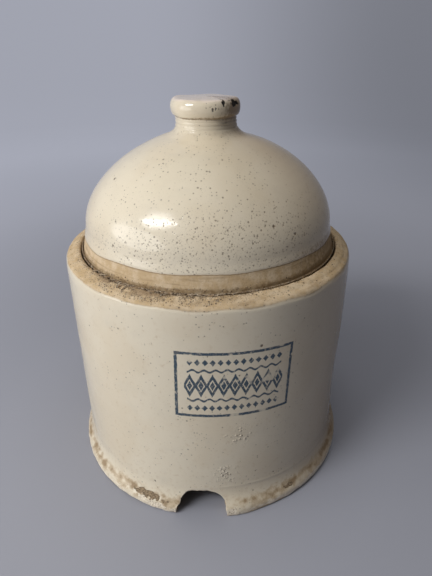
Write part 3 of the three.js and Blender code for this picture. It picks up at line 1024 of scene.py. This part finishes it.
def make_crumbs():
    """Loose grit on the ledge, thickest towards the groove at the front left."""
    rng = np.random.default_rng(RANDOM_SEED + 5)
    form = np.array(CRUMB_FORM, float)
    slope = (LEDGE_TOP_Z - RIM_CORNER_Z) / (RIM_CORNER_R - GUTTER_OUTER_R)
    points, faces = [], []
    while len(faces) < CRUMB_COUNT * len(CRUMB_FACES):
        angle = rng.uniform(-180.0, 180.0)
        if rng.uniform() > dirtiness(angle) ** 1.4:
            continue
        out = abs(rng.normal()) * CRUMB_SPREAD
        if out > CRUMB_REACH:
            continue
        size = rng.uniform(*CRUMB_SIZES) * (1.0 - 0.05 * out)
        scale = size * rng.uniform(0.7, 1.3, 3)
        turn = Matrix.Rotation(rng.uniform(0.0, 2.0 * math.pi), 3, "Z") @ Matrix.Rotation(
            rng.uniform(-0.6, 0.6), 3, "X")
        local = (form * scale) @ np.array(turn).T
        theta = math.radians(angle)
        r = GUTTER_OUTER_R + 0.9 + out
        z = LEDGE_TOP_Z + 0.05 - slope * out
        center = np.array([r * math.sin(theta), -r * math.cos(theta), z])
        start = len(points)
        points += (local + center).tolist()
        faces += [tuple(start + k for k in face) for face in CRUMB_FACES]
    return new_piece("ledge_crumbs", (np.array(points) * MM).tolist(), faces, crumb_material())


# ---- room, lights, camera

FLOOR_COLOR = (0.352, 0.366, 0.432)
# painted shade: the floor's darker colour far out
FAR_PAINTED_SHADE = (0.140, 0.146, 0.172)
# painted light: the stage's glow
SURROUND_GLOW = (0.315, 0.327, 0.382)
AMBIENT_COLOR, AMBIENT_STRENGTH = (1.0, 0.88, 0.76), 0.006
WINDOW_COLOR = (1.0, 0.985, 0.955)
ROOM_COLOR = (1.0, 0.97, 0.93)
BOUNCE_COLOR = (1.0, 0.99, 0.97)
LIGHT_TARGET = Vector((0.0, 0.0, 0.15))
# azimuth, elevation, distance, width, height, watts, colour, roll
LIGHTS = {
    "window_front_left": (-52.0, 38.5, 1.10, 0.54, 0.22, 5.7, WINDOW_COLOR, 22.0),
    "wall_glow_left": (-64.0, 10.0, 1.20, 1.20, 0.60, 5.6, WINDOW_COLOR, 0.0),
    "front_glow": (-35.0, 58.0, 1.30, 1.40, 1.40, 1.5, ROOM_COLOR, 0.0),
    "ceiling_glow": (90.0, 86.0, 1.30, 0.90, 0.90, 5.0, ROOM_COLOR, 0.0),
    "bounce_left": (-80.0, 12.0, 1.30, 0.30, 0.90, 0.5, BOUNCE_COLOR, 0.0),
}
STAGE_SEGMENTS = 96
STAGE_ROUGHNESS = 0.6
FLOOR_RINGS = ((0.0, 0.0), (0.4, 0.0), (1.0, 0.0))
WALL_RINGS = ((1.0, 0.0), (1.3, 0.0), (1.45, 0.02), (1.60, 0.10), (1.72, 0.25), (1.78, 0.45),
              (1.80, 0.70), (1.80, 2.60))


def stage_material():
    """Grey-blue paper with painted light and shade: it glows softly away from the middle, most
    on the left, and its colour darkens far out.
    """
    shade = Shade("studio_grey")
    parts = shade.add("ShaderNodeSeparateXYZ")
    shade.put(parts.inputs[0], shade.place)
    across, along = parts.outputs[0], parts.outputs[1]
    reach = shade.math("SQRT", shade.sum(shade.product(across, across),
                                         shade.product(along, along)))
    # painted light: the glow stands in for the lamps' light across the room, weaker towards the
    # right
    glow = shade.product(shade.step(reach, 0.05, 1.15),
                         shade.step(across, -0.30, 0.75, 1.0, 0.47))
    # painted shade: the floor's colour darkens far out
    color = shade.mix(shade.step(reach, 0.55, 1.05), FLOOR_COLOR, FAR_PAINTED_SHADE)
    shade.finish(color, STAGE_ROUGHNESS, shade.product(shade.noise(1.2), 0.02))
    shader = next(n for n in shade.tree.nodes if n.type == "BSDF_PRINCIPLED")
    shader.inputs["Emission Color"].default_value = (*SURROUND_GLOW, 1.0)
    shade.put(shader.inputs["Emission Strength"], glow)
    return shade.material


def stage_part(name, rings, material):
    """Part of the room, from rings of [radius, height] in metres round the crock."""
    step = 2 * math.pi / STAGE_SEGMENTS
    points = [(r * math.sin(step * k), r * math.cos(step * k), z)
              for r, z in rings for k in range(STAGE_SEGMENTS)]
    faces = []
    for i in range(len(rings) - 1):
        low, high = i * STAGE_SEGMENTS, (i + 1) * STAGE_SEGMENTS
        for k in range(STAGE_SEGMENTS):
            beside = (k + 1) % STAGE_SEGMENTS
            faces.append((low + k, high + k, high + beside, low + beside))
    part = new_piece(name, points, faces, material)
    part.data.shade_smooth()
    return part


def make_stage():
    """Plain floor that curves up into a wall all round; the wall only closes the view."""
    material = stage_material()
    stage_part("studio_floor", FLOOR_RINGS, material)
    wall = stage_part("studio_wall", WALL_RINGS, material)
    wall.visible_diffuse = False
    wall.visible_shadow = False


def area_light(name, azimuth, elevation, distance, wide, tall, watts, color, roll):
    """Soft light seen from the crock's middle at azimuth (0 is the front, positive right)."""
    data = bpy.data.lights.new(name, "AREA")
    data.shape = "ELLIPSE"
    data.size, data.size_y = wide, tall
    data.energy = watts
    data.color = color
    lamp = bpy.data.objects.new(name, data)
    a, e = math.radians(azimuth), math.radians(elevation)
    way = Vector((math.sin(a) * math.cos(e), -math.cos(a) * math.cos(e), math.sin(e)))
    lamp.location = LIGHT_TARGET + way * distance
    turn = way.to_track_quat("Z", "Y") @ Quaternion((0.0, 0.0, 1.0), math.radians(roll))
    lamp.rotation_euler = turn.to_euler()
    return placed(lamp)


def make_lights():
    lamps = {name: area_light(name, *settings) for name, settings in LIGHTS.items()}
    lamps["ceiling_glow"].visible_glossy = False  # it would show as a patch on the dome
    world = bpy.data.worlds.new("studio_world")
    world.use_nodes = True
    backdrop = world.node_tree.nodes["Background"]
    backdrop.inputs["Color"].default_value = (*AMBIENT_COLOR, 1.0)
    backdrop.inputs["Strength"].default_value = AMBIENT_STRENGTH
    bpy.context.scene.world = world


CAMERA_AT = (0.00507, -0.30120, 0.27912)
CAMERA_PITCH = 28.143
CAMERA_ROLL = -0.0070
CAMERA_LENS, CAMERA_SENSOR = 28.914, 36.0
CAMERA_CLIP = 0.01


def make_camera():
    data = bpy.data.cameras.new("camera")
    data.sensor_width = CAMERA_SENSOR
    data.lens = CAMERA_LENS
    data.clip_start = CAMERA_CLIP
    camera = bpy.data.objects.new("camera", data)
    camera.matrix_world = (Matrix.Translation(CAMERA_AT)
                           @ Matrix.Rotation(math.radians(90.0 - CAMERA_PITCH), 4, "X")
                           @ Matrix.Rotation(CAMERA_ROLL, 4, "Z"))
    bpy.context.scene.camera = placed(camera)


make_camera()
make_stage()
make_lights()
bpy.context.scene.view_settings.view_transform = "Standard"

crock = make_crock()
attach(crock, "crock")
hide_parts("crock")

lid = make_lid()
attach(lid, "lid")
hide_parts("lid")

for side in ("left", "right"):
    stone = make_stone(side)
    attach(stone, "weight_" + side)
    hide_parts("weight_" + side)

for dirt in (make_crust(), make_crumbs()):
    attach(dirt, "crock")
